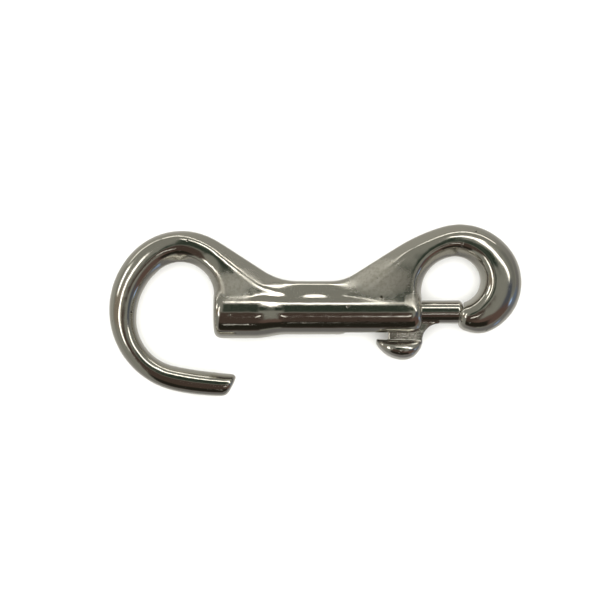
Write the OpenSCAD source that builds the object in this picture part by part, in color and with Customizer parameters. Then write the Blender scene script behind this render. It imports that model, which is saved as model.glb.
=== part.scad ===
// Open-eye bolt snap.
// One casting carries an open eye, a bored barrel and a hook. A sprung bolt closes the hook.
// The bolt slides along X, the hook is at +X, and the casting lies with its parting plane level.

/* [Casting] */
// Length over the eye and the hook
overall_l = 86; // [82:1:92]
// Diameter of the barrel round the bolt
barrel_d = 9.4; // [9:0.1:10.2]
// Diameter of the boss at the closed end of the barrel
boss_d = 11; // [10.4:0.1:11.6]
// Thickness of the webs and of the spine on the barrel
web_t = 7; // [6:0.1:8]
// Thickness of the eye's rod at its tip
tip_t = 5.2; // [4.4:0.1:6]
// Thickness of the hook's rod at its widest
hook_t = 8.2; // [7:0.1:9]

/* [Bolt] */
// Diameter of the bolt
bolt_d = 4.9; // [4.5:0.05:5]
// Gap between the bolt and its bore, all round
bolt_play = 0.1; // [0.05:0.01:0.15]
// How far the bolt slides back
travel = 8.5; // [7:0.1:8.8]
// Width of the slot under the barrel
slot_w = 3.4; // [3:0.1:3.6]
// Width of the thumb knob, across the bolt
knob_w = 7.2; // [6:0.1:8]

/* [Spring] */
// Thickness of the spring wire
wire_d = 0.5; // [0.4:0.05:0.6]
// Turns of the spring
turns = 10; // [8:1:11]

/* [Hidden] */
nickel = "silver";
steel = "gray";
$fn = 64;

// Plan sizes are drawn for the nominal length and multiplied by this
k = overall_l / 86;

barrel_r = barrel_d / 2;
boss_r = boss_d / 2;
bolt_r = bolt_d / 2;
bore_r = bolt_r + bolt_play;
axis_z = boss_r;

// Places along the bolt's axis
boss_end = -21.3 * k;
boss_step = -12 * k;
step_l = 5 * k;
mouth = 22 * k;
seat = 30.75 * k;
bolt_tip = seat - 0.15;
bolt_rear = 8 * k;
bore_end = -12 * k;
stem_rear = 15 * k;
stem_front = 22.1 * k;

// Sections of the casting's rod. A section is a rubber band round four beads that stand across the
// rod: foot, crest, shoulder and rim. A bead is [place, half width, half thickness]. Foot and crest
// are placed from the inner edge, shoulder and rim back from the outer edge.
web_h = web_t / 2;
tip_h = tip_t / 2;
hook_h = hook_t / 2;
bow_h = (web_h + tip_h) / 2 + 0.05;
spine_y = 6.5;
buried_y = 0.6;
core_r = barrel_r - 0.4;

spine_form = [[0.6, 0.6, 0.6], [-buried_y, core_r, core_r], [2.6, 1, 1.4], [0.5, 0.5, 0.6]];
boss_form = [[1, 1, 4.4], [3, 2.6, web_h + 1.5], [4, 1.4, web_h - 0.2], [0.8, 0.8, 0.8]];
eye_web_form = [[0.6, 0.6, 1.4], [1.6, 1.2, web_h + 0.4], [3.9, 1.2, web_h + 0.1], [0.8, 0.8, 0.9]];
eye_neck_form = [[0.5, 0.5, 0.9], [1.6, 0.9, web_h - 0.2], [2.2, 1, web_h - 0.6], [1.1, 1.1, 1.3]];
bow_form = [[0.4, 0.4, 0.6], [2.6, 1.1, bow_h], [2.4, 2, bow_h - 0.5], [1, 1, 1.1]];
rod_form = [[1.6, 1.6, 2], [2.6, 2, tip_h + 0.05], [2.5, 2.4, tip_h - 0.1], [1.2, 1.2, 1.2]];
tip_form = [[2, 2, 2.3], [2.5, 2.3, tip_h], [2.4, 2.3, tip_h - 0.1], [1.2, 1.2, 1.2]];

mouth_form = [[1.2, 1.2, 3.9], [3.6, 2.6, web_h + 0.8], [4.6, 1.6, web_h - 0.3], [0.9, 0.9, 0.9]];
hook_web_form = [[0.6, 0.6, 1.6], [1.8, 1.2, web_h + 0.4], [4.6, 1.6, web_h], [0.9, 0.9, 0.9]];
hook_neck_form = [[0.6, 0.6, 1.8], [2.4, 1.5, web_h + 0.4], [3.4, 2.4, web_h], [1, 1, 1]];
shank_form = [[0.8, 0.8, 1.8], [2.8, 1.8, hook_h - 0.1], [4, 3.6, hook_h - 0.2], [1.2, 1.2, 1.2]];
hook_form = [[1.2, 1.2, 2], [2.9, 2, hook_h], [4.2, 4.2, hook_h - 0.1], [1.2, 1.2, 1.2]];
bend_form = [[2.2, 2.2, 3.2], [3.2, 2.4, hook_h], [3.8, 3.8, hook_h - 0.1], [1.2, 1.2, 1.2]];
nose_form = [[2.8, 2.8, 3.9], [3, 2.8, hook_h - 0.1], [3, 2.9, hook_h - 0.1], [1.2, 1.2, 1.2]];

// Rows of the rod, from mid barrel out to the eye's tip and out to the hook's nose. Each row is one
// stretch between two rails that are tangent arcs and straight lines: outer radius, outer sweep,
// inner radius, inner sweep, steps, section at its end. A radius of 0 makes the sweep a length, and
// a sweep below 0 turns right.
eye_rows = [
    [0, 4, 0, 8, 3, spine_form],
    [12.2, -20, 0, 10.4, 5, boss_form],
    [12.2, -13, 2.7, -90, 6, eye_web_form],
    [0, 11.5, 7, 57, 7, eye_neck_form],
    [14.2, 76, 7, 73, 9, bow_form],
    [17.4, 47, 13.3, 49, 6, bow_form],
    [17.4, 79, 10, 80, 10, rod_form],
    [55, 10, 100, 7, 5, tip_form]
];

hook_rows = [
    [0, 3.2, 0, 8, 3, spine_form],
    [8.5, 20, 0, 11.6, 5, mouth_form],
    [8.5, 12.4, 2.4, 97, 6, hook_web_form],
    [0, 10.3, 7.3, -50, 6, hook_neck_form],
    [39.5, -15.6, 7.3, -40, 6, shank_form],
    [13.2, -78.6, 5.3, -69, 10, hook_form],
    [11.1, -95.2, 4.6, -62, 11, bend_form],
    [6.2, -45.8, 4.6, -38, 5, nose_form]
];

// Place and heading after an arc, or after a straight line where the radius is 0
function after(p, radius, sweep) =
    radius == 0
        ? [p.x + sweep * cos(p.z), p.y + sweep * sin(p.z), p.z]
        : let (side = sign(sweep), heading = p.z + sweep)
            [p.x + side * radius * (sin(heading) - sin(p.z)),
             p.y - side * radius * (cos(heading) - cos(p.z)),
             heading];

// Rungs between the two rails: [inner point, outer point, section]
function rungs(rows, outer, inner, form, i = 0) =
    i == len(rows)
        ? [[inner, outer, form]]
        : let (row = rows[i], steps = row[4])
            concat(
                [for (j = [0:steps - 1])
                    let (f = j / steps)
                    [after(inner, row[2], row[3] * f),
                     after(outer, row[0], row[1] * f),
                     form + (row[5] - form) * f]],
                rungs(rows, after(outer, row[0], row[1]), after(inner, row[2], row[3]), row[5], i + 1));

// One closed section across a rung. The point that faces one way lies on the bead reaching furthest
// that way.
facings = 12;
function ring(rung) =
    let (a = [rung[0].x, rung[0].y] * k,
         b = [rung[1].x, rung[1].y] * k,
         width = norm(b - a),
         along = (b - a) / width,
         form = rung[2],
         beads = [form[0], form[1],
             [width - form[2][0], form[2][1], form[2][2]],
             [width - form[3][0], form[3][1], form[3][2]]])
    [for (j = [0:2 * facings - 1])
        let (facing = 180 - 180 * j / facings,
             c = cos(facing),
             s = sin(facing),
             reach = [for (e = beads) e[0] * c + norm([e[1] * c, e[2] * s])],
             bead = beads[search(max(reach), reach)[0]],
             size = norm([bead[1] * c, bead[2] * s]),
             p = a + along * (bead[0] + bead[1] * bead[1] * c / size))
        [p.x, p.y, bead[2] * bead[2] * s / size]];

// The section with all four beads in one, an ellipse
function oval(half_w, half_t) = [for (i = [0:3]) [half_w, half_w, half_t]];

// The rung moved on by a length and drawn in about its middle, for the two ends
function end_rung(rung, shift, share) =
    let (middle = (rung[0] + rung[1]) / 2)
    [middle + (rung[0] - middle) * share + shift,
     middle + (rung[1] - middle) * share + shift,
     rung[2] * share];

function backwards(list) = [for (i = [len(list) - 1:-1:0]) list[i]];

eye_rungs = rungs(eye_rows, [0, spine_y, 180], [0, buried_y, 180], spine_form);
hook_rungs = rungs(hook_rows, [0, spine_y, 0], [0, buried_y, 0], spine_form);

tip_ease = [[0.4, 0.98], [0.8, 0.9], [1.1, 0.7]];
tip_rungs = [for (e = tip_ease) end_rung(eye_rungs[len(eye_rungs) - 1], [e[0], 0, 0], e[1])];

nose_l = 2.2;
nose_rungs = [for (t = [16:16:80])
    end_rung(hook_rungs[len(hook_rungs) - 1], [-nose_l * sin(t), 0, 0], cos(t))];

backbone_rungs = concat(
    backwards(tip_rungs),
    backwards(eye_rungs),
    [for (i = [1:len(hook_rungs) - 1]) hook_rungs[i]],
    nose_rungs);

// Closed skin over a row of rings with the same number of points
module skin(rings) {
    count = len(rings);
    n = len(rings[0]);
    last = (count - 1) * n;
    sides = [for (i = [0:count - 2], j = [0:n - 1])
        let (a = i * n + j, b = i * n + (j + 1) % n, c = b + n, d = a + n)
        each [[a, b, c], [a, c, d]]];
    ends = [[for (j = [n - 1:-1:0]) j], [for (j = [0:n - 1]) last + j]];
    polyhedron(points = [for (r = rings, p = r) p], faces = concat(sides, ends), convexity = 8);
}

// Turns a shape drawn along Z so that it runs along X
module along_x() {
    rotate([0, 90, 0]) children();
}

// Eye, webs, spine and hook, as one rod
module backbone() {
    skin([for (r = backbone_rungs) ring(r)]);
}

// Boss, step and barrel with its rounded mouth, about the bolt's axis
end_round = 1.5;
mouth_round = 2.4 * k;
mouth_drop = 1.6;
module barrel() {
    profile = concat(
        [[0, boss_end]],
        [for (t = [0:15:90]) [boss_r - end_round * (1 - sin(t)), boss_end + end_round * (1 - cos(t))]],
        [for (f = [0:0.125:1])
            [boss_r + (barrel_r - boss_r) * (1 - cos(180 * f)) / 2, boss_step + step_l * f]],
        [for (t = [0:15:90]) [barrel_r - mouth_drop * (1 - cos(t)), mouth - mouth_round * (1 - sin(t))]],
        [[0, mouth]]);
    along_x() rotate_extrude() polygon(profile);
}

// Blind bore from the mouth, with the drill's cone at its end
drill_cone = 1.2;
module bore() {
    translate([bore_end, 0, 0]) along_x() cylinder(h = mouth + 2 - bore_end, r = bore_r);
    translate([bore_end - drill_cone, 0, 0]) along_x() cylinder(h = drill_cone, r1 = 0.4, r2 = bore_r);
}

// Slot for the knob's stem, open at the mouth
slot_end = stem_rear - travel - 1.1;
module slot() {
    depth = boss_r + 2;
    reach = mouth + 2 - slot_end - slot_w / 2;
    translate([slot_end + slot_w / 2, -depth, -slot_w / 2]) cube([reach, depth, slot_w]);
    translate([slot_end + slot_w / 2, 0, 0]) rotate([90, 0, 0]) cylinder(h = depth, d = slot_w);
}

// Round seat in the nose, where the bolt's tip rests
module nose_seat() {
    translate([mouth + 4, 0, 0]) along_x() cylinder(h = seat - mouth - 4, r = bore_r + 0.1);
}

module body() {
    color(nickel) translate([0, 0, axis_z]) difference() {
        union() {
            backbone();
            barrel();
        }
        bore();
        slot();
        nose_seat();
    }
}

// Bolt with chamfered ends
tip_chamfer = 0.7;
rear_chamfer = 0.4;
module shank() {
    along_x() rotate_extrude() polygon([
        [0, bolt_rear],
        [bolt_r - rear_chamfer, bolt_rear],
        [bolt_r, bolt_rear + rear_chamfer],
        [bolt_r, bolt_tip - tip_chamfer],
        [bolt_r - tip_chamfer, bolt_tip],
        [0, bolt_tip]]);
}

// Stem of the knob, with the hollow that the thumb pulls on
stem_t = slot_w - 0.4;
thumb_r = 3.45;
stem_low = -6.6;
module stem() {
    outline = concat(
        [[stem_front, stem_low], [stem_rear + 0.3, stem_low], [stem_rear, stem_low + 1],
         [stem_rear, -bolt_r / 2], [stem_front + thumb_r, -bolt_r / 2]],
        [for (t = [0:15:90]) [stem_front + thumb_r * (1 - sin(t)), -bolt_r - thumb_r * (1 - cos(t))]]);
    translate([0, 0, -stem_t / 2]) linear_extrude(stem_t) polygon(outline);
}

// Head of the knob: a lens with a round belly that runs back to a thin lip
head_rear = stem_rear - 2.5;
head_l = 9.5;
head_top = -5.6;
belly = [18.2 * k, -3.55];
belly_r = 6.5;
head_steps = 14;
function head_rung(f) =
    let (x = head_rear + head_l * (1 - cos(180 * f)) / 2,
         spread = max(0.12, sqrt(max(0, 1 - pow((x - head_rear) / (head_l / 2) - 1, 2)))),
         rise = max(0, x - belly.x),
         low = belly.y - sqrt(max(0, pow(belly_r, 2) - pow(x - belly.x, 2))) + pow(rise, 3) * 0.045,
         foot = min(low, head_top - 0.5))
    [[x, foot, 0] / k, [x, head_top, 0] / k, oval((head_top - foot) / 2, knob_w / 2 * pow(spread, 0.7))];

module bolt() {
    color(nickel) translate([0, 0, axis_z]) {
        shank();
        stem();
        skin([for (i = [0:head_steps]) ring(head_rung(i / head_steps))]);
    }
}

// Helical spring between the end of the bore and the bolt
spring_d = bolt_d - wire_d - 0.5;
ring_steps = 16;
wire_sides = 8;
module spring() {
    start = bore_end + wire_d / 2;
    span = bolt_rear - start - wire_d / 2;
    count = turns * ring_steps;
    pitch_angle = atan(span / turns / (PI * spring_d));
    rings = [for (i = [0:count])
        let (a = 360 * i / ring_steps, x = start + span * i / count)
        [for (j = [0:wire_sides - 1])
            let (b = 360 * j / wire_sides,
                 r = spring_d / 2 + wire_d / 2 * cos(b),
                 lift = wire_d / 2 * sin(b))
            [x + lift * cos(pitch_angle),
             r * cos(a) + lift * sin(pitch_angle) * sin(a),
             r * sin(a) - lift * sin(pitch_angle) * cos(a)]]];
    color(steel) translate([0, 0, axis_z]) skin(rings);
}

body();
bolt();
spring();
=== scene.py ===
# %% [markdown]
# # An open-eye bolt snap in nickel plate
# A bolt snap is a zinc or iron casting with an eye at one end, a hook at the other and a bored barrel
# between them. A sprung bolt slides in the barrel and shuts the hook. Everything is plated at once,
# so the whole thing is one mirror, and its looks come from two things only: the shape of the surface
# and what stands round it. This lesson models the three pieces as smooth meshes in the frame that the
# engineering model gives, and then builds a small studio for them to reflect.

# %% Load the frame
import math

import bmesh
import bpy
from mathutils import Matrix, Vector


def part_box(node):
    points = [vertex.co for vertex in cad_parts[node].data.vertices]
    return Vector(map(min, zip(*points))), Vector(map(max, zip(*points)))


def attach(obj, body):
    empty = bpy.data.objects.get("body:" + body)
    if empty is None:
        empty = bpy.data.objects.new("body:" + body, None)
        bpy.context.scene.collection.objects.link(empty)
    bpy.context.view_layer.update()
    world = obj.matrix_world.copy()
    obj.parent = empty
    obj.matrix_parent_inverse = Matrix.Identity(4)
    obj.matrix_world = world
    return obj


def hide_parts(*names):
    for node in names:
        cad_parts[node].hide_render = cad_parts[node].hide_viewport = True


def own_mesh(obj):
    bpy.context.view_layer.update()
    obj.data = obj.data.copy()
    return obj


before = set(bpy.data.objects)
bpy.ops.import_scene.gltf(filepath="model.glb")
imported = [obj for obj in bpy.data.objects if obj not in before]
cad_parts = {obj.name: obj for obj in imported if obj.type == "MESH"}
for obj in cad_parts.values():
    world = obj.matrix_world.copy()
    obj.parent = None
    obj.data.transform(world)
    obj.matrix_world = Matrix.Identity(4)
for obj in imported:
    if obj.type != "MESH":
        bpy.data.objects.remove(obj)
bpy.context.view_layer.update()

# %% [markdown]
# ## Units
# The frame is in metres, and Blender's brushes and merge distances are happier with numbers near one.
# So each piece is drawn in millimetres round the bolt's axis, and one helper shrinks it into the frame
# at the end and applies its place, which leaves every object unturned at the origin.

# %% Millimetres in, metres out
mm = 0.001
bolt_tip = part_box("bolt")[1].x / mm
axis_height = sum(point.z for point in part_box("body")) / 2 / mm


def select_only(*pieces):
    """Leaves just these objects selected, the first one active."""
    if bpy.context.object and bpy.context.object.mode != "OBJECT":
        bpy.ops.object.mode_set(mode="OBJECT")
    bpy.ops.object.select_all(action="DESELECT")
    for piece in pieces:
        piece.select_set(True)
    bpy.context.view_layer.objects.active = pieces[0]


def into_frame(piece):
    """Shrinks a finished piece to metres, lifts it to the bolt's axis and applies both."""
    select_only(piece)
    piece.scale = (mm, mm, mm)
    piece.location = (0, 0, axis_height * mm)
    bpy.ops.object.transform_apply(location=True, rotation=True, scale=True)


def apply_modifier(piece, kind, **settings):
    """Adds one modifier, sets it and applies it at once."""
    select_only(piece)
    modifier = piece.modifiers.new(kind.title(), kind)
    for key, value in settings.items():
        setattr(modifier, key, value)
    bpy.ops.object.modifier_apply(modifier=modifier.name)


def count_triangles(piece):
    """How many triangles the mesh has once its faces are split."""
    return sum(len(face.vertices) - 2 for face in piece.data.polygons)


print("bolt axis stands", round(axis_height, 3), "mm above the floor, bolt tip at", round(bolt_tip, 2))

# %% [markdown]
# ## The camera
# A long lens straight above the snap gives the flat, catalogue view of a small part on a sheet of
# paper, with next to no perspective.

# %% Camera
view_width = 125.1 * mm
view_centre = Vector((-3.34, 2.5, 0)) * mm
camera_height = 450 * mm
sensor_width = 36
camera_data = bpy.data.cameras.new("camera")
camera_data.sensor_width = sensor_width
camera_data.lens = sensor_width * camera_height / view_width
camera = bpy.data.objects.new("camera", camera_data)
bpy.context.scene.collection.objects.link(camera)
camera.location = view_centre + Vector((0, 0, camera_height + axis_height * mm))
bpy.context.scene.camera = camera
print("lens of", round(camera_data.lens, 1), "mm")

# %% [markdown]
# ## Drawing a rod between two rails
# The casting is one long rod that starts as the eye's tip, runs round the eye, over the barrel and
# round the hook, and ends as the nose. It could be sculpted, but its outline is what everyone sees, so
# it is lofted: two rails of tangent arcs give the outline, and a closed section stands on every rung
# between them. A rail is drawn like a walk, a stretch at a time: radius and turn in degrees, or radius
# 0 and a length. Each stretch starts in the direction in which the last one ended, so no rail has a
# corner. Both rails are walked in step, and the section changes evenly from row to row.

# %% Rails
def after(place, radius, sweep):
    """Place and heading after an arc, or after a straight line where the radius is 0."""
    x, y, heading = place
    a = math.radians(heading)
    if radius == 0:
        return (x + sweep * math.cos(a), y + sweep * math.sin(a), heading)
    side = math.copysign(1, sweep)
    b = a + math.radians(sweep)
    return (
        x + side * radius * (math.sin(b) - math.sin(a)),
        y - side * radius * (math.cos(b) - math.cos(a)),
        heading + sweep,
    )


def rungs(rows, outer, inner, form):
    """Walks both rails row by row. Each rung is (inner point, outer point, form of its section)."""
    made = []
    for outer_radius, outer_sweep, inner_radius, inner_sweep, steps, next_form in rows:
        for step in range(steps):
            f = step / steps
            form_here = [a + (b - a) * f for a, b in zip(form, next_form)]
            made.append((
                Vector(after(inner, inner_radius, inner_sweep * f)[:2]),
                Vector(after(outer, outer_radius, outer_sweep * f)[:2]),
                form_here,
            ))
        outer = after(outer, outer_radius, outer_sweep)
        inner = after(inner, inner_radius, inner_sweep)
        form = next_form
    made.append((Vector(inner[:2]), Vector(outer[:2]), list(form)))
    return made


# %% [markdown]
# ## The section on a rung
# The rod isn't round. Inside the eye and the hook its wall slopes, so that the casting leaves its mould,
# the crest wanders between the opening and the rim, and the webs are wedges that thin out towards the
# rim. All of these are one thing, the outline of a rubber band round four beads that stand across the
# rung: foot, crest, shoulder and rim. A bead is a place, its half widths inwards and outwards, and its
# half thickness. Foot and crest are placed from the inner edge, shoulder and rim back from the outer.
# The foot and the rim touch their edges, so a half width and a half thickness are enough for them. The
# band's points are found by the way each one faces, so the flanks between the beads are straight and
# meet them without a crease.

# %% Section
facings = 14


def ring(rung):
    """Points round one section: from the inner edge over the crest to the rim and back below."""
    inner, outer, form = rung
    width = (outer - inner).length
    along = (outer - inner) / width
    foot, crest, shoulder, rim = [form[i:i + 4] for i in range(0, 16, 4)]
    band = [foot, crest, [width - shoulder[0]] + shoulder[1:], [width - rim[0]] + rim[1:]]
    points = []
    for step in range(2 * facings):
        facing = math.pi - math.pi * step / facings
        c, s = math.cos(facing), math.sin(facing)
        reach = []
        for middle, inward, outward, height in band:
            half = inward if c < 0 else min(outward, width - middle)
            reach.append((middle * c + math.hypot(half * c, height * s), middle, half, height))
        middle, half, height = max(reach)[1:]
        stretch = math.hypot(half * c, height * s)
        place = inner + along * (middle + half * half * c / stretch)
        points.append(Vector((place.x, place.y, height * height * s / stretch)))
    return points


def beads(foot, crest, shoulder, rim):
    """The four beads as one list. Foot and rim touch their edges: half width and half thickness."""
    return [*[foot[0]] * 3, foot[1], *crest, *shoulder, *[rim[0]] * 3, rim[1]]


def drawn_in(rung, shift, share):
    """The rung moved on by a length and drawn in about its middle, for the rod's two ends."""
    inner, outer, form = rung
    middle = (inner + outer) / 2
    move = Vector((shift, 0))
    edges = [middle + (edge - middle) * share + move for edge in (inner, outer)]
    return (*edges, [size * share for size in form])


print(2 * facings, "points round each section")

# %% [markdown]
# ## The spine and the eye
# The rod's middle stretch is the spine, a ridge with steep flanks that stands along the barrel on the
# side away from the knob. From there the casting is drawn in two halves, each one a list of rows. A row
# has the outer rail's radius and turn, the inner rail's radius and turn, the number of rungs, and the
# section at its end. The eye's half leaves the spine for the web over the boss, narrows to a neck, and
# goes round the open ring as an oval rod. It could be swept along one curve, but on the real piece the
# rod's width changes all the way round, and two rails let each edge have its own curve.

# %% The spine and the eye's rows
spine_top, spine_foot = 6.5, 0.6
spine = beads((0.6, 0.6), (1.0, 1.0, 1.0, 3.6), (3.5, 0.6, 0.6, 3.34), (1.0, 1.7))
eye_boss = beads((1.0, 4.4), (4.0, 3.2, 2.2, 4.85), (4.0, 1.6, 1.6, 3.9), (0.9, 1.4))
eye_web = beads((0.5, 2.0), (2.4, 2.0, 2.0, 4.35), (4.0, 1.6, 1.6, 3.8), (0.8, 1.1))
eye_neck = beads((0.5, 0.9), (1.8, 1.2, 1.6, 2.9), (2.5, 1.2, 1.2, 2.9), (1.0, 1.1))
eye_top = beads((0.3, 0.5), (3.2, 2.0, 2.0, 2.95), (2.8, 1.9, 2.8, 3.0), (0.9, 1.2))
eye_turn = beads((0.3, 0.5), (3.0, 2.7, 3.7, 3.1), (3.7, 2.0, 3.6, 3.05), (0.9, 1.2))
eye_bow = beads((0.4, 0.7), (2.6, 2.5, 3.4, 3.0), (3.4, 2.0, 3.3, 2.9), (0.9, 1.2))
eye_low = beads((1.0, 1.2), (2.5, 2.4, 2.4, 2.8), (2.4, 2.0, 2.3, 2.7), (1.0, 1.0))
eye_rod = beads((1.2, 1.4), (2.5, 2.3, 2.8, 2.65), (2.7, 2.0, 2.6, 2.55), (1.2, 1.2))
eye_rows = [
    (0, 4, 0, 8, 3, spine),
    (12.2, -20, 0, 10.5, 5, eye_boss),
    (12.2, -13, 2.7, -90, 6, eye_web),
    (0, 11.5, 7, 57, 7, eye_neck),
    (14.2, 33, 7, 32, 4, eye_top),
    (14.2, 43, 7, 41, 5, eye_turn),
    (17.4, 47, 13.3, 49, 6, eye_bow),
    (17.4, 40, 10, 40, 5, eye_low),
    (17.4, 39, 10, 40, 5, eye_rod),
    (55, 10, 100, 7, 5, eye_rod),
]
eye_rungs = rungs(eye_rows, (0, spine_top, 180), (0, spine_foot, 180), spine)
print(len(eye_rungs), "rungs from the spine to the eye's tip")

# %% [markdown]
# ## The hook
# The hook's half leaves the spine for the web over the mouth, rises round the hook's opening and bends
# down to the nose, against which the bolt shuts. The rod is widest in the bow, where a pull on the hook
# strains it most, and it draws in towards the nose, into which the seat for the bolt's tip is cut.

# %% The hook's rows
mouth_web = beads((1.2, 3.9), (3.6, 2.6, 2.6, 4.3), (4.6, 1.6, 1.6, 3.5), (0.9, 1.4))
hook_web = beads((0.6, 1.6), (1.8, 1.2, 1.2, 3.9), (4.6, 1.6, 1.6, 3.5), (0.9, 0.9))
hook_neck = beads((0.6, 1.8), (2.4, 1.6, 3.4, 3.9), (3.4, 2.4, 2.4, 3.5), (1.0, 1.0))
hook_rise = beads((0.3, 0.6), (2.9, 1.9, 3.2, 3.6), (3.2, 2.4, 2.6, 3.45), (0.9, 1.4))
hook_top = beads((0.3, 0.5), (2.9, 1.8, 3.8, 3.55), (3.6, 2.4, 3.2, 3.4), (0.9, 1.3))
hook_bow = beads((0.8, 1.4), (3.0, 2.6, 5.4, 4.0), (4.4, 2.4, 4.2, 3.8), (1.2, 1.2))
hook_bend = beads((1.6, 2.4), (3.2, 3.0, 5.4, 4.1), (4.2, 2.4, 4.0, 3.9), (1.2, 1.2))
hook_nose = beads((2.4, 3.2), (3.0, 2.9, 3.4, 4.0), (3.2, 2.4, 3.0, 3.9), (1.2, 1.2))
hook_rows = [
    (0, 3.2, 0, 8, 3, spine),
    (8.5, 20, 0, 11.6, 5, mouth_web),
    (8.5, 12.4, 2.4, 97, 6, hook_web),
    (0, 10.3, 7.3, -50, 6, hook_neck),
    (39.5, -15.6, 7.3, -40, 6, hook_rise),
    (13.2, -26, 5.3, -23, 4, hook_top),
    (13.2, -52.6, 5.3, -46, 7, hook_bow),
    (11.1, -95.2, 4.6, -62, 11, hook_bend),
    (6.2, -45.8, 4.6, -38, 5, hook_nose),
]
hook_rungs = rungs(hook_rows, (0, spine_top, 0), (0, spine_foot, 0), spine)
print(len(hook_rungs), "rungs from the spine to the nose")

# %% [markdown]
# ## The rod's two ends
# The eye's tip is cut off nearly flat with a rounded edge, so its last rungs are drawn in over a short
# way, each with its own (shift, share). The nose is round, so there the rungs follow a quarter of an
# oval.

# %% Tip and nose
tip_ease = [(0.4, 0.98), (0.8, 0.9), (1.1, 0.7)]
nose_length, nose_turn = 2.2, 16
tip_rungs = [drawn_in(eye_rungs[-1], shift, share) for shift, share in tip_ease]
nose_rungs = []
for turn in range(nose_turn, 90, nose_turn):
    t = math.radians(turn)
    nose_rungs.append(drawn_in(hook_rungs[-1], -nose_length * math.sin(t), math.cos(t)))
rod_rungs = tip_rungs[::-1] + eye_rungs[::-1] + hook_rungs[1:] + nose_rungs
print(len(rod_rungs), "rungs from the eye's tip to the end of the nose")

# %% [markdown]
# ## Extruding the rod
# A disc is set on the first rung and extruded from rung to rung, the way a rod is drawn out by hand.
# Extruding keeps the points in step, where bridging separate rings could twist the skin. Two levels of
# subdivision then round it off.

# %% Loft
def loft(name, rings):
    """Extrudes a disc from ring to ring and leaves it as a closed skin."""
    bpy.ops.object.select_all(action="DESELECT")
    bpy.ops.mesh.primitive_circle_add(vertices=len(rings[0]), radius=1, fill_type="NGON")
    piece = bpy.context.object
    piece.name = name
    for corner, place in zip(piece.data.vertices, rings[0]):
        corner.co = place
    bpy.ops.object.mode_set(mode="EDIT")
    bpy.ops.mesh.select_all(action="SELECT")
    for before, now in zip(rings, rings[1:]):
        bpy.ops.mesh.extrude_region_move()
        sheet = bmesh.from_edit_mesh(piece.data)
        for corner in [v for v in sheet.verts if v.select]:
            nearest = min(range(len(before)), key=lambda i: (before[i] - corner.co).length_squared)
            corner.co = now[nearest]
        bmesh.update_edit_mesh(piece.data)
    bpy.ops.mesh.select_all(action="SELECT")
    bpy.ops.mesh.normals_make_consistent(inside=False)
    bpy.ops.object.mode_set(mode="OBJECT")
    return piece


rod = loft("rod", [ring(rung) for rung in rod_rungs])
smooth_levels = 2
apply_modifier(rod, "SUBSURF", levels=smooth_levels, render_levels=smooth_levels)
print("rod:", count_triangles(rod), "triangles")


# %% [markdown]
# ## Turning the barrel
# The boss and the barrel are round about the bolt's axis, so they are turned: a profile is drawn point
# by point and spun. The step between the two is a soft S, as a casting has, and the mouth is rounded
# over.

# %% Lathe
def turned(name, profile, steps=96):
    """Draws a profile of (along, radius) points by extruding a vertex and spins it round X."""
    bpy.ops.object.select_all(action="DESELECT")
    bpy.ops.mesh.primitive_plane_add(size=1)
    piece = bpy.context.object
    piece.name = name
    bpy.ops.object.mode_set(mode="EDIT")
    bpy.ops.mesh.select_all(action="SELECT")
    bpy.ops.mesh.merge(type="CENTER")
    bpy.ops.transform.translate(value=(profile[0][0], profile[0][1], 0))
    for (x0, r0), (x1, r1) in zip(profile, profile[1:]):
        step = {"value": (x1 - x0, r1 - r0, 0)}
        bpy.ops.mesh.extrude_vertices_move(TRANSFORM_OT_translate=step)
    bpy.ops.mesh.select_all(action="SELECT")
    bpy.ops.mesh.spin(steps=steps, angle=2 * math.pi, center=(0, 0, 0), axis=(1, 0, 0))
    bpy.ops.mesh.select_all(action="SELECT")
    bpy.ops.mesh.remove_doubles(threshold=0.0005)
    bpy.ops.mesh.normals_make_consistent(inside=False)
    bpy.ops.object.mode_set(mode="OBJECT")
    return piece


# %% Boss and barrel
boss_radius, barrel_radius, bore_radius = 5.5, 4.7, 2.6
boss_end, boss_step, step_length, mouth = -21.3, -12.6, 6.4, 22.0
end_round, mouth_round, mouth_drop = 1.5, 2.4, 1.6
quarter = [math.radians(turn) for turn in range(0, 91, 15)]
step_points = 8

profile = [(boss_end, 0)]
for t in quarter:
    back, drop = end_round * (1 - math.cos(t)), end_round * (1 - math.sin(t))
    profile.append((boss_end + back, boss_radius - drop))
for point in range(step_points + 1):
    share = point / step_points
    drop = (boss_radius - barrel_radius) * (1 - math.cos(math.pi * share)) / 2
    profile.append((boss_step + step_length * share, boss_radius - drop))
for t in quarter:
    back, drop = mouth_round * (1 - math.sin(t)), mouth_drop * (1 - math.cos(t))
    profile.append((mouth - back, barrel_radius - drop))
profile.append((mouth, 0))
barrel = turned("barrel", profile)
print("barrel:", len(profile), "points,", count_triangles(barrel), "triangles")

# %% [markdown]
# ## Fusing the casting
# The real piece is poured in one go and tumbled, so there is no seam anywhere, and every inner corner
# has a soft fillet. Voxel remeshing melts the overlapping skins into one, and smoothing it gives the
# fillets. The bore, the slot and the seat are cut next, and a second, finer remesh breaks their edges
# as plating does.

# %% Fuse rod and barrel
melt_voxel, fillet_passes = 0.3, 14
select_only(rod, barrel)
bpy.ops.object.join()
casting = bpy.context.object
casting.name = "snap_body"
apply_modifier(casting, "REMESH", mode="VOXEL", voxel_size=melt_voxel)
apply_modifier(casting, "SMOOTH", factor=0.5, iterations=fillet_passes)
print("fused:", count_triangles(casting), "triangles")

# %% [markdown]
# ## The cutters
# The bore is a blind hole that was drilled in from the mouth, so it ends in a flat cone. A slot on the
# knob's side lets its stem travel, and the slot's blind end is round, as a milling cutter leaves it. A
# flat seat is faced into the nose, where the bolt's tip comes to rest. The cutters stand out at the open
# ends of what they cut, so that no thin skin is left there.

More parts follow.
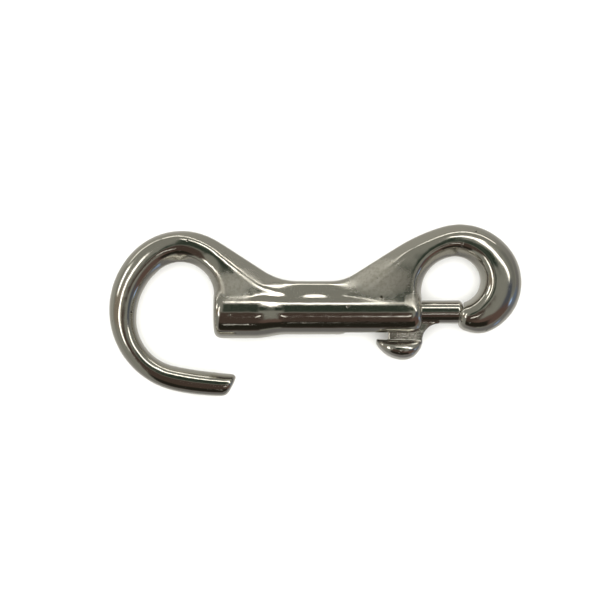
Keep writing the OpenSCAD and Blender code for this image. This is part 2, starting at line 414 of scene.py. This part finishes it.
# %% Bore, seat and slot
bore_start, bore_end, drill_cone = mouth + 3, -12.0, 1.2
seat_start, seat_end, seat_radius = mouth + 4, 30.75, 2.65
slot_end, slot_width, slot_depth = 5.4, 3.4, 8.0
slot_length, slot_round = bore_start - slot_end, slot_width / 2 - 0.02

bore = turned("bore", [
    (bore_end - drill_cone, 0), (bore_end, bore_radius), (bore_start, bore_radius), (bore_start, 0),
])
seat = turned("seat", [
    (seat_start, 0), (seat_start, seat_radius), (seat_end, seat_radius), (seat_end, 0),
])
slot_place = (slot_end + slot_length / 2, -slot_depth / 2, 0)
bpy.ops.object.select_all(action="DESELECT")
bpy.ops.mesh.primitive_cube_add(size=1, location=slot_place, scale=(slot_length, slot_depth, slot_width))
slot = bpy.context.object
bpy.ops.object.transform_apply(location=True, rotation=True, scale=True)
apply_modifier(slot, "BEVEL", width=slot_round, segments=6)
print("bore", mouth - bore_end, "mm deep, slot", round(mouth - slot_end, 1), "mm long")

# %% Cut the casting and break its edges
edge_voxel, edge_passes = 0.25, 6
for cutter in (bore, seat, slot):
    apply_modifier(casting, "BOOLEAN", operation="DIFFERENCE", solver="EXACT", object=cutter)
    bpy.data.objects.remove(cutter)
apply_modifier(casting, "REMESH", mode="VOXEL", voxel_size=edge_voxel)
apply_modifier(casting, "SMOOTH", factor=0.5, iterations=edge_passes)
bpy.ops.object.shade_smooth()
print("casting:", count_triangles(casting), "triangles")

# %% [markdown]
# ## The bolt
# The bolt is a round pin with a thumb knob. Its shank is spun like the barrel, with a small chamfer
# behind and two at the tip, whose corners are given as (length back, drop).

# %% The bolt's shank
bolt_radius, bolt_rear, rear_chamfer = 2.42, 8.0, 0.4
tip_corners = [(0.7, 0), (0.2, 0.4), (0, 0.8)]
shank_profile = [
    (bolt_rear, 0), (bolt_rear, bolt_radius - rear_chamfer), (bolt_rear + rear_chamfer, bolt_radius),
]
shank_profile += [(bolt_tip - back, bolt_radius - drop) for back, drop in tip_corners]
shank_profile.append((bolt_tip, 0))
shank = turned("shank", shank_profile)
print("shank:", round(bolt_tip - bolt_rear, 2), "mm long")

# %% [markdown]
# ## The knob's stem
# The stem is a flat block that starts inside the shank. In front it is hollowed for the thumb, with a
# quarter circle that runs out along the shank. It could be cut out of a cube, but drawing the outline
# once and extruding it is quicker, and the hollow is exact.

# %% The knob's stem
stem_rear, stem_front, stem_half = 15.0, 22.1, 1.45
stem_low, stem_top, thumb_radius = -6.6, -1.2, 3.45
heel_length, heel_rise = 0.3, 1.0
outline = [
    (stem_front, stem_low), (stem_rear + heel_length, stem_low), (stem_rear, stem_low + heel_rise),
    (stem_rear, stem_top), (stem_front + thumb_radius, stem_top),
]
for turn in range(0, 91, 10):
    t = math.radians(turn)
    ahead, below = thumb_radius * (1 - math.sin(t)), thumb_radius * (1 - math.cos(t))
    outline.append((stem_front + ahead, -bolt_radius - below))

bpy.ops.object.select_all(action="DESELECT")
bpy.ops.mesh.primitive_circle_add(vertices=len(outline), radius=1, fill_type="NGON")
stem = bpy.context.object
for corner, (x, y) in zip(stem.data.vertices, outline):
    corner.co = (x, y, -stem_half)
bpy.ops.object.mode_set(mode="EDIT")
bpy.ops.mesh.select_all(action="SELECT")
bpy.ops.mesh.extrude_region_move(TRANSFORM_OT_translate={"value": (0, 0, 2 * stem_half)})
bpy.ops.mesh.select_all(action="SELECT")
bpy.ops.mesh.normals_make_consistent(inside=False)
bpy.ops.object.mode_set(mode="OBJECT")
print("stem:", len(outline), "points round its outline")

# %% [markdown]
# ## The knob's head
# The head is a small pad for the thumb: flat towards the barrel, domed on the other side, with a thin
# lip behind and a steeper rise in front. It is lofted like the rod, from the lip to the front, on
# sections that are plain ovals, which is what four equal beads in the middle of a rung give.

# %% The knob's head
head_rear, head_length, head_top, knob_half = 12.5, 9.5, -5.6, 3.6
belly, belly_radius = Vector((18.2, -3.55)), 6.5
front_rise, least_depth, end_spread, fullness = 0.03, 0.5, 0.12, 0.7
head_steps = 14
head_rings = []
for step in range(head_steps + 1):
    x = head_rear + head_length * (1 - math.cos(math.pi * step / head_steps)) / 2
    spread = max(end_spread, math.sqrt(max(0, 1 - ((x - head_rear) / (head_length / 2) - 1) ** 2)))
    lift = max(0, x - belly.x) ** 3 * front_rise
    low = belly.y - math.sqrt(max(0, belly_radius ** 2 - (x - belly.x) ** 2)) + lift
    foot, top = Vector((x, min(low, head_top - least_depth))), Vector((x, head_top))
    middle = (top - foot).length / 2
    head_rings.append(ring((foot, top, [middle, middle, middle, knob_half * spread ** fullness] * 4)))
head = loft("head", head_rings)
apply_modifier(head, "SUBSURF", levels=smooth_levels, render_levels=smooth_levels)
print("head:", count_triangles(head), "triangles")

# %% [markdown]
# ## Fusing the bolt
# Shank, stem and head become one skin with soft inner corners, in the same way as the casting. The
# voxels are finer, because the tip's chamfers and the lip are small.

# %% Fuse the bolt
bolt_voxel, bolt_passes = 0.15, 10
select_only(shank, stem, head)
bpy.ops.object.join()
bolt = bpy.context.object
bolt.name = "snap_bolt"
apply_modifier(bolt, "REMESH", mode="VOXEL", voxel_size=bolt_voxel)
apply_modifier(bolt, "SMOOTH", factor=0.5, iterations=bolt_passes)
bpy.ops.object.shade_smooth()
print("bolt:", count_triangles(bolt), "triangles")

# %% [markdown]
# ## The spring
# A coil of thin wire fills the bore behind the bolt and pushes it shut. A small circle is screwed round
# the axis by a modifier, one turn at a time, and its two ends are closed with a face each.

# %% Spring
wire, spring_radius, turns = 0.5, 1.95, 10
wire_points, turn_points = 10, 24
spring_start, spring_end = bore_end + wire / 2, bolt_rear - wire / 2
pitch = (spring_end - spring_start) / turns
wire_place = (spring_start, spring_radius, 0)
bpy.ops.object.select_all(action="DESELECT")
bpy.ops.mesh.primitive_circle_add(vertices=wire_points, radius=wire / 2, location=wire_place)
spring = bpy.context.object
spring.name = "snap_spring"
bpy.ops.object.transform_apply(location=True, rotation=True, scale=True)
apply_modifier(
    spring, "SCREW", axis="X", angle=2 * math.pi, iterations=turns, screw_offset=pitch,
    steps=turn_points, render_steps=turn_points,
)
bpy.ops.object.mode_set(mode="EDIT")
bpy.ops.mesh.select_all(action="DESELECT")
bpy.ops.mesh.select_non_manifold()
bpy.ops.mesh.edge_face_add()
bpy.ops.mesh.select_all(action="SELECT")
bpy.ops.mesh.normals_make_consistent(inside=False)
bpy.ops.object.mode_set(mode="OBJECT")
bpy.ops.object.shade_smooth()
print("spring:", count_triangles(spring), "triangles")

# %% [markdown]
# ## Into the frame
# The finished pieces are shrunk to metres and take the places of the plain solids. Each one rides on
# the body that carries it. The spring is the only piece that changes its shape: it is squashed against
# the bottom of the bore while the bolt slides back, and at the end of the bolt's 8.5 mm of travel 11.5
# of its 20 mm are left. Here it only gets a mesh of its own.

# %% Into the frame
for piece, body, node, slot in (
    (casting, "body", "body", "nickel_casting"),
    (bolt, "bolt", "bolt", "nickel_bolt"),
    (spring, "body", "spring", "spring_wire"),
):
    into_frame(piece)
    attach(piece, body)
    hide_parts(node)
    print(piece.name, "rides on", body)
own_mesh(spring)

# %% [markdown]
# ## Effects as node groups
# Each effect is one small node group that works in millimetres and gives back a height or a mask, so
# that the three materials share them and differ only in how much they take. A helper makes the nodes
# and wires whatever it is handed: numbers are typed in, sockets are linked.

# %% Node helpers
def add(tree, kind, inputs=(), **settings):
    """Adds a node, sets it and feeds its inputs, given as (name or number, value or socket)."""
    made = tree.nodes.new(kind)
    for key, value in settings.items():
        setattr(made, key, value)
    for key, value in inputs:
        if isinstance(value, bpy.types.NodeSocket):
            tree.links.new(value, made.inputs[key])
        else:
            made.inputs[key].default_value = value
    return made


def sums(tree, operation, *values):
    """One math node and its result."""
    return add(tree, "ShaderNodeMath", list(enumerate(values)), operation=operation).outputs[0]


def ramp(tree, value, start, end):
    """Eases from 0 at start to 1 at end."""
    places = [("Value", value), ("From Min", start), ("From Max", end)]
    return add(tree, "ShaderNodeMapRange", places, interpolation_type="SMOOTHSTEP").outputs[0]


def noise(tree, place, scale, detail=2.0, roughness=0.5):
    """Clouds of one size, from about 0.3 to 0.7."""
    inputs = [("Vector", place), ("Scale", scale), ("Detail", detail), ("Roughness", roughness)]
    return add(tree, "ShaderNodeTexNoise", inputs).outputs["Fac"]


def new_group(name, inputs, outputs):
    """An empty group with its sockets. Gives the tree, the inputs by name, and the output node."""
    tree = bpy.data.node_groups.new(name, "ShaderNodeTree")
    for kind, label in inputs:
        tree.interface.new_socket(label, in_out="INPUT", socket_type=kind)
    for kind, label in outputs:
        tree.interface.new_socket(label, in_out="OUTPUT", socket_type=kind)
    start = tree.nodes.new("NodeGroupInput")
    return tree, start.outputs, tree.nodes.new("NodeGroupOutput")


def use(tree, group, **inputs):
    """Puts a group into a tree. Keywords are the group's inputs, with _ for a space."""
    made = tree.nodes.new("ShaderNodeGroup")
    made.node_tree = group
    for key, value in inputs.items():
        socket = made.inputs[key.replace("_", " ")]
        if isinstance(value, bpy.types.NodeSocket):
            tree.links.new(value, socket)
        else:
            socket.default_value = value
    return made.outputs


# %% [markdown]
# ## Cast relief
# A casting isn't flat under its plating. Long shallow waves come from the mould and from tumbling, a
# finer skin like orange peel comes from the sand or the die, and here and there a gas pit was left.

# %% Group: cast relief
vector, number = "NodeSocketVector", "NodeSocketFloat"
pit_share = 0.28
relief, given, result = new_group(
    "cast relief",
    [(vector, "Place"), (number, "Waves"), (number, "Peel"), (number, "Pits")],
    [(number, "Height"), (number, "Pit")],
)
long_waves = noise(relief, given["Place"], scale=0.35, detail=1.0)
skin = noise(relief, given["Place"], scale=2.6, detail=3.0, roughness=0.6)
waves = sums(relief, "MULTIPLY", long_waves, given["Waves"])
peel = sums(relief, "MULTIPLY", skin, given["Peel"])
cells = add(relief, "ShaderNodeTexVoronoi", [("Vector", given["Place"]), ("Scale", 0.45)])
chance = add(relief, "ShaderNodeSeparateXYZ", [(0, cells.outputs["Color"])]).outputs[0]
chosen = sums(relief, "GREATER_THAN", chance, 1 - pit_share)
round_hole = ramp(relief, cells.outputs["Distance"], start=0.14, end=0.05)
hole = sums(relief, "MULTIPLY", round_hole, chosen)
sunk = sums(relief, "MULTIPLY", hole, given["Pits"])
height = sums(relief, "SUBTRACT", sums(relief, "ADD", waves, peel), sunk)
relief.links.new(height, result.inputs["Height"])
relief.links.new(hole, result.inputs["Pit"])
print(relief.name, "takes", [label for label in given.keys() if label])

# %% [markdown]
# ## Hollows that tumbling misses
# Tumbling polishes whatever sticks out. The flat webs between rod and barrel keep a duller, mottled
# skin, so one group gives a soft patch round a place, with a ragged edge.

# %% Group: dull patch
edge_wander = 0.3
patch, given, result = new_group(
    "dull patch",
    [(vector, "Place"), (vector, "Centre"), (vector, "Reach")],
    [(number, "Mask")],
)
from_centre = [(0, given["Place"]), (1, given["Centre"])]
offset = add(patch, "ShaderNodeVectorMath", from_centre, operation="SUBTRACT").outputs[0]
in_reaches = [(0, offset), (1, given["Reach"])]
scaled = add(patch, "ShaderNodeVectorMath", in_reaches, operation="DIVIDE").outputs[0]
distance = add(patch, "ShaderNodeVectorMath", [(0, scaled)], operation="LENGTH").outputs["Value"]
wander = sums(patch, "MULTIPLY", noise(patch, given["Place"], scale=0.8, detail=3.0), edge_wander)
ragged = sums(patch, "ADD", distance, wander)
patch.links.new(ramp(patch, ragged, start=1.4, end=0.5), result.inputs["Mask"])
print(patch.name, "takes", [label for label in given.keys() if label])

# %% [markdown]
# ## Rub marks
# Keys, rings and its own bolt leave fine lines in bright plate. They are noise drawn out along one way,
# of which only the peaks are kept.

# %% Group: rub marks
stretch = (0.35, 7.0, 7.0)
rubs, given, result = new_group(
    "rub marks",
    [(vector, "Place"), (vector, "Turn"), (number, "Amount")],
    [(number, "Mask")],
)
turning = [("Vector", given["Place"]), ("Rotation", given["Turn"]), ("Scale", stretch)]
turned_place = add(rubs, "ShaderNodeMapping", turning).outputs[0]
lines = noise(rubs, turned_place, scale=1.0, detail=2.0, roughness=0.6)
peaks = ramp(rubs, lines, start=0.60, end=0.72)
rubs.links.new(sums(rubs, "MULTIPLY", peaks, given["Amount"]), result.inputs["Mask"])
print(rubs.name, "takes", [label for label in given.keys() if label])

# %% [markdown]
# ## Metals
# All three pieces are bare metal, so their materials start alike: a shader that is fully metallic, and
# the place on the piece in millimetres about the bolt's axis. What differs is the colour, which a mask
# blends from two, and the roughness and the relief, which start from a base value to which each mask
# adds its share.

# %% Metal helpers
def blank_metal(name):
    """A metal material. Gives its tree, its shader and places in mm about the bolt's axis."""
    material = bpy.data.materials.new(name)
    material.use_nodes = True
    tree = material.node_tree
    shader = tree.nodes["Principled BSDF"]
    shader.inputs["Metallic"].default_value = 1
    spot = add(tree, "ShaderNodeTexCoord").outputs["Object"]
    in_mm = [("Vector", spot), ("Location", (0, 0, -axis_height)), ("Scale", (1 / mm, 1 / mm, 1 / mm))]
    return material, tree, shader, add(tree, "ShaderNodeMapping", in_mm).outputs[0]


def blend(tree, share, low_colour, high_colour):
    """Mixes two colours, each typed in or linked."""
    mixed = tree.nodes.new("ShaderNodeMix")
    mixed.data_type = "RGBA"
    tree.links.new(share, mixed.inputs["Factor"])
    for name, colour in (("A", low_colour), ("B", high_colour)):
        if isinstance(colour, bpy.types.NodeSocket):
            tree.links.new(colour, mixed.inputs[name])
        else:
            mixed.inputs[name].default_value = (*colour, 1)
    return mixed.outputs["Result"]


def raised(tree, base, *shares):
    """A base value to which masks are added, given as (mask, how much it adds)."""
    for mask, amount in shares:
        base = sums(tree, "ADD", base, sums(tree, "MULTIPLY", mask, amount))
    return base


def bump(tree, shader, height, strength=1.0):
    """Drives the shader's normal with a height in mm."""
    inputs = [("Strength", strength), ("Distance", mm), ("Height", height)]
    tree.links.new(add(tree, "ShaderNodeBump", inputs).outputs[0], shader.inputs["Normal"])


# %% [markdown]
# ## The casting's plate
# Nickel is a warm, slightly yellow mirror. The casting takes all the effects: relief, dull webs with a
# darker bloom, rub marks on its polished parts, one deep pit in the web beside the hook, and a faint,
# worn line along its middle where the halves of the mould met. Its pits are sunk and also painted
# near black, which is painted shade inside them.

# %% Where the casting is dull
nickel_casting, tree, shader, place = blank_metal("nickel casting")
eye_side = ((-17.6, 5.5, 0.0), (6.2, 3.7, 9.0))
hook_side = ((13.5, 6.5, 0.0), (8.0, 5.5, 9.0))
mouth_edge = ((19.8, 2.6, 0.0), (2.0, 2.0, 9.0))
dull = 0.0
for centre, reach in (eye_side, hook_side, mouth_edge):
    web = use(tree, patch, Place=place, Centre=centre, Reach=reach)[0]
    dull = sums(tree, "MAXIMUM", dull, web)
deep_pit = use(tree, patch, Place=place, Centre=(13.5, 3.1, 4.0), Reach=(0.5, 0.4, 2.0))[0]
mottle = ramp(tree, noise(tree, place, scale=1.6, detail=4.0, roughness=0.65), start=0.42, end=0.62)
bloom = sums(tree, "MULTIPLY", dull, mottle)

# %% The casting's relief
parting_half, parting_fade = 0.08, 0.22
mark_depth, pit_depth, parting_height = 0.0008, 0.06, 0.03
peel = raised(tree, 0.003, (dull, 0.012))
cast = use(tree, relief, Place=place, Waves=0.035, Peel=peel, Pits=0.05)
across_rubs = use(tree, rubs, Place=place, Turn=(0.3, 0.2, 0.7), Amount=0.5)[0]
along_rubs = use(tree, rubs, Place=place, Turn=(0.1, 0.3, -0.5), Amount=0.5)[0]
marks = sums(tree, "MAXIMUM", across_rubs, along_rubs)
off_middle = sums(tree, "ABSOLUTE", add(tree, "ShaderNodeSeparateXYZ", [(0, place)]).outputs[2])
worn = ramp(tree, noise(tree, place, scale=0.25, detail=2.0), start=0.35, end=0.6)
parting = sums(tree, "MULTIPLY", ramp(tree, off_middle, start=parting_fade, end=parting_half), worn)
height = raised(tree, cast["Height"], (marks, -mark_depth), (deep_pit, -pit_depth))
bump(tree, shader, raised(tree, height, (parting, parting_height)))

# %% The casting's colour and roughness
bright_nickel, dull_nickel, painted_pit_shade = (0.66, 0.64, 0.59), (0.54, 0.52, 0.46), (0.10, 0.09, 0.07)
polished, cloud_haze, dull_haze, mark_haze = 0.06, 0.10, 0.34, 0.12
colour = blend(tree, bloom, bright_nickel, dull_nickel)
# Pits are painted near black: this is painted shade inside them.
colour = blend(tree, sums(tree, "MAXIMUM", cast["Pit"], deep_pit), colour, painted_pit_shade)
tree.links.new(colour, shader.inputs["Base Color"])
clouds = noise(tree, place, scale=0.9, detail=3.0)
rough = raised(tree, polished, (clouds, cloud_haze), (dull, dull_haze), (marks, mark_haze))
tree.links.new(rough, shader.inputs["Roughness"])
print(nickel_casting.name, "has", len(tree.nodes), "nodes")

# %% [markdown]
# ## The bolt's plate
# The bolt was turned before it was plated, so it is smoother than the casting, and its rub marks all
# run along its travel. Only the knob's stem, which no tool reaches, keeps its rough cast skin.

# %% The bolt's plate
nickel_bolt, tree, shader, place = blank_metal("nickel bolt")
bolt_nickel, dragged_nickel = (0.68, 0.66, 0.62), (0.58, 0.56, 0.51)
turned_finish, drag_haze, drag_depth = 0.10, 0.14, 0.001
stem_skin = use(tree, patch, Place=place, Centre=(19.5, -4.6, 0.0), Reach=(5.0, 2.0, 4.0))[0]
cast = use(tree, relief, Place=place, Waves=0.02, Peel=raised(tree, 0.002, (stem_skin, 0.16)), Pits=0.0)
drag = use(tree, rubs, Place=place, Turn=(0.0, 0.0, 0.0), Amount=1.0)[0]
tree.links.new(blend(tree, drag, bolt_nickel, dragged_nickel), shader.inputs["Base Color"])
tree.links.new(raised(tree, turned_finish, (drag, drag_haze)), shader.inputs["Roughness"])
bump(tree, shader, raised(tree, cast["Height"], (drag, -drag_depth)))
print(nickel_bolt.name, "has", len(tree.nodes), "nodes")

# %% [markdown]
# ## The spring's wire
# Drawn wire is greyer and rougher than the plate, with fine lines from the die. It sits deep in the
# bore, where hardly any of it can be seen, so it gets one effect and no more.

# %% The spring's wire
spring_wire, tree, shader, place = blank_metal("spring wire")
bright_wire, dark_wire = (0.52, 0.52, 0.51), (0.36, 0.35, 0.33)
wire_finish, line_haze, line_depth = 0.28, 0.15, 0.002
drawn = use(tree, rubs, Place=place, Turn=(1.2, 0.0, 0.0), Amount=1.0)[0]
tree.links.new(blend(tree, drawn, bright_wire, dark_wire), shader.inputs["Base Color"])
tree.links.new(raised(tree, wire_finish, (drawn, line_haze)), shader.inputs["Roughness"])
bump(tree, shader, sums(tree, "MULTIPLY", drawn, -line_depth))

# %% [markdown]
# ## Which piece is which metal
# The metals are given out in one loop, so that no piece is left with the plain material of the frame.

# %% Give each piece its metal
for piece, material in ((casting, nickel_casting), (bolt, nickel_bolt), (spring, spring_wire)):
    piece.data.materials.clear()
    piece.data.materials.append(material)
    print(piece.name, "is", material.name)

# %% [markdown]
# ## What the plate reflects
# A mirror shows nothing but its surroundings, so the studio is painted round the snap, in the world's
# shader: a mid grey room above, and below the horizon the paper that the snap lies on, pale close by
# and darker far off. Real lamps and boards could stand there instead, but painted ones cast no shadows
# on each other, and each can be aimed on its own.
#
# A panel is a true rectangle that faces the snap. It is aimed by its compass bearing (0 is to the right,
# 90 is to the far side) and by its angle from straight overhead, and its size is also in degrees.

# %% Studio
world = bpy.data.worlds.new("studio")
bpy.context.scene.world = world
world.use_nodes = True
studio = world.node_tree
studio.nodes.clear()
direction = add(studio, "ShaderNodeTexCoord").outputs["Generated"]
split = add(studio, "ShaderNodeSeparateXYZ", [(0, direction)])
overhead_angle = sums(studio, "ARCCOSINE", split.outputs[2])
barely_ahead, least_divisor = 0.01, 0.001


def dot(axis):
    """How far the direction runs along an axis."""
    inputs = [(0, direction), (1, tuple(axis))]
    return add(studio, "ShaderNodeVectorMath", inputs, operation="DOT_PRODUCT").outputs["Value"]


def panel(painted, bearing, overhead, size, colour, strength=1.0, turn=0, soft=3):
    """Lays one soft-edged rectangle over what is painted so far."""
    b, o = math.radians(bearing), math.radians(overhead)
    aim = Vector((math.sin(o) * math.cos(b), math.sin(o) * math.sin(b), math.cos(o)))
    side = Vector((-math.sin(b), math.cos(b), 0))
    side.rotate(Matrix.Rotation(math.radians(turn), 3, aim))
    rise = aim.cross(side)
    edge = math.tan(math.radians(soft / 2))
    towards = dot(aim)
    share = sums(studio, "GREATER_THAN", towards, barely_ahead)
    ahead = sums(studio, "MAXIMUM", towards, least_divisor)
    for axis, length in ((side, size[0]), (rise, size[1])):
        reach = math.tan(math.radians(length / 2))
        off = sums(studio, "ABSOLUTE", sums(studio, "DIVIDE", dot(axis), ahead))
        share = sums(studio, "MULTIPLY", share, ramp(studio, off, start=reach + edge, end=reach - edge))
    return blend(studio, share, painted, [c * strength for c in colour])


# %% Room and paper
room_grey = (0.265, 0.265, 0.23)
shaded_paper, lit_paper, near_paper = (0.19, 0.185, 0.18), (0.38, 0.375, 0.33), (0.55, 0.545, 0.51)
across = sums(studio, "SUBTRACT", split.outputs[1], split.outputs[0])
paper = blend(studio, ramp(studio, across, start=-1.2, end=1.2), shaded_paper, lit_paper)
below_horizon = ramp(studio, overhead_angle, start=1.54, end=1.62)
close_by = ramp(studio, overhead_angle, start=1.95, end=2.5)
painted = blend(studio, below_horizon, room_grey, paper)
painted = blend(studio, close_by, painted, near_paper)

# %% [markdown]
# ## What stands round the snap
# The dark shapes give a mirror its depth: a dark board round the camera, a person and furniture on the
# near side, and dim corners to the right and the left. The lights are strip lamps and soft boxes, and
# their soft edges are the soft ends of the highlights. A window low on the right adds the strongest
# blue. Later panels lie over earlier ones, so the order counts.

# %% Dark shapes
black = (0.022, 0.02, 0.014)
dark_green, brown, red_brown = (0.032, 0.045, 0.032), (0.075, 0.053, 0.042), (0.13, 0.085, 0.07)
night_blue, dim_grey, ochre = (0.09, 0.10, 0.12), (0.2, 0.2, 0.18), (0.26, 0.22, 0.17)
for bearing, overhead, size, colour, turn, soft in (
    (88, 18, (12, 35), dark_green, 0, 5),
    (47, 20, (14, 17), dark_green, 43, 6),
    (-100, 46, (42, 88), brown, 0, 8),
    (-48, 62, (46, 50), red_brown, 0, 12),
    (-90, 68, (60, 34), black, 0, 8),
    (-12, 50, (26, 30), night_blue, 0, 14),
    (15, 72, (50, 26), dim_grey, 0, 12),
    (178, 50, (24, 60), ochre, 0, 16),
):
    painted = panel(painted, bearing, overhead, size, colour, turn=turn, soft=soft)

# %% Lights
warm_white = (1.0, 0.98, 0.90)
for bearing, overhead, size, strength, turn, soft in (
    (76, 45, (24, 5), 4, 13, 3),
    (40, 38, (44, 9), 3, 0, 6),
    (81, 81, (62, 3.4), 4, 2, 2),
    (160, 30, (26, 6), 3, 0, 3),
    (157, 64, (18, 10), 3, 0, 5),
    (130, 85, (30, 5), 2, 0, 4),
    (-166, 34, (16, 12), 3, 0, 6),
    (-70, 20, (10, 2.2), 2.5, 20, 1),
    (-92.4, 57, (1.8, 3), 1.5, 0, 1),
):
    painted = panel(painted, bearing, overhead, size, warm_white, strength, turn, soft)

# %% Window
window_frame, window_blue = (0.15, 0.19, 0.26), (0.40, 0.58, 0.92)
painted = panel(painted, -16, 98, (18, 26), window_frame, soft=14)
painted = panel(painted, -23, 80, (8, 10), window_blue, strength=1.1, soft=5)
painted = panel(painted, -50, 108, (7, 8), window_blue, strength=0.7, soft=6)
print("the studio has", len(studio.nodes), "nodes")

# %% [markdown]
# ## What the camera sees
# The camera should see plain white behind the snap, while the plate sees the room. A Light Path node
# tells the two apart: rays straight from the camera get white, and all others get the painted room.

# %% White for the camera
room = add(studio, "ShaderNodeBackground", [("Color", painted)]).outputs[0]
white = add(studio, "ShaderNodeBackground", [("Color", (0.95, 0.95, 0.93, 1))]).outputs[0]
seen = add(studio, "ShaderNodeLightPath").outputs["Is Camera Ray"]
chosen_light = add(studio, "ShaderNodeMixShader", [(0, seen), (1, room), (2, white)]).outputs[0]
add(studio, "ShaderNodeOutputWorld", [("Surface", chosen_light)])

# %% [markdown]
# ## Paper and light
# The snap lies on a sheet of white paper under one large soft lamp, which only has to light the paper
# and give a soft shadow. Neither of them shows in the plate: the painted room already holds paper and
# lights, and they would be seen twice.

# %% Paper and light
lamp = bpy.data.lights.new("paper light", "AREA")
lamp.shape = "SQUARE"
lamp.size = 1.6
lamp.energy = 34
lamp_object = bpy.data.objects.new("paper light", lamp)
bpy.context.scene.collection.objects.link(lamp_object)
lamp_object.location = (0, 0, 1.2)
lamp_object.visible_glossy = False

paper_material = bpy.data.materials.new("white paper")
paper_material.use_nodes = True
paper_shader = paper_material.node_tree.nodes["Principled BSDF"]
paper_shader.inputs["Base Color"].default_value = (0.9, 0.9, 0.88, 1)
paper_shader.inputs["Roughness"].default_value = 0.9
paper_shader.inputs["Specular IOR Level"].default_value = 0

bpy.ops.object.select_all(action="DESELECT")
bpy.ops.mesh.primitive_plane_add(size=4, location=(0, 0, 0))
floor = bpy.context.object
floor.name = "paper_floor"
floor.data.materials.append(paper_material)
floor.visible_glossy = False
bpy.context.scene.view_settings.view_transform = "Standard"
print("the lamp is", lamp.size, "m wide and hangs", lamp_object.location.z, "m up")
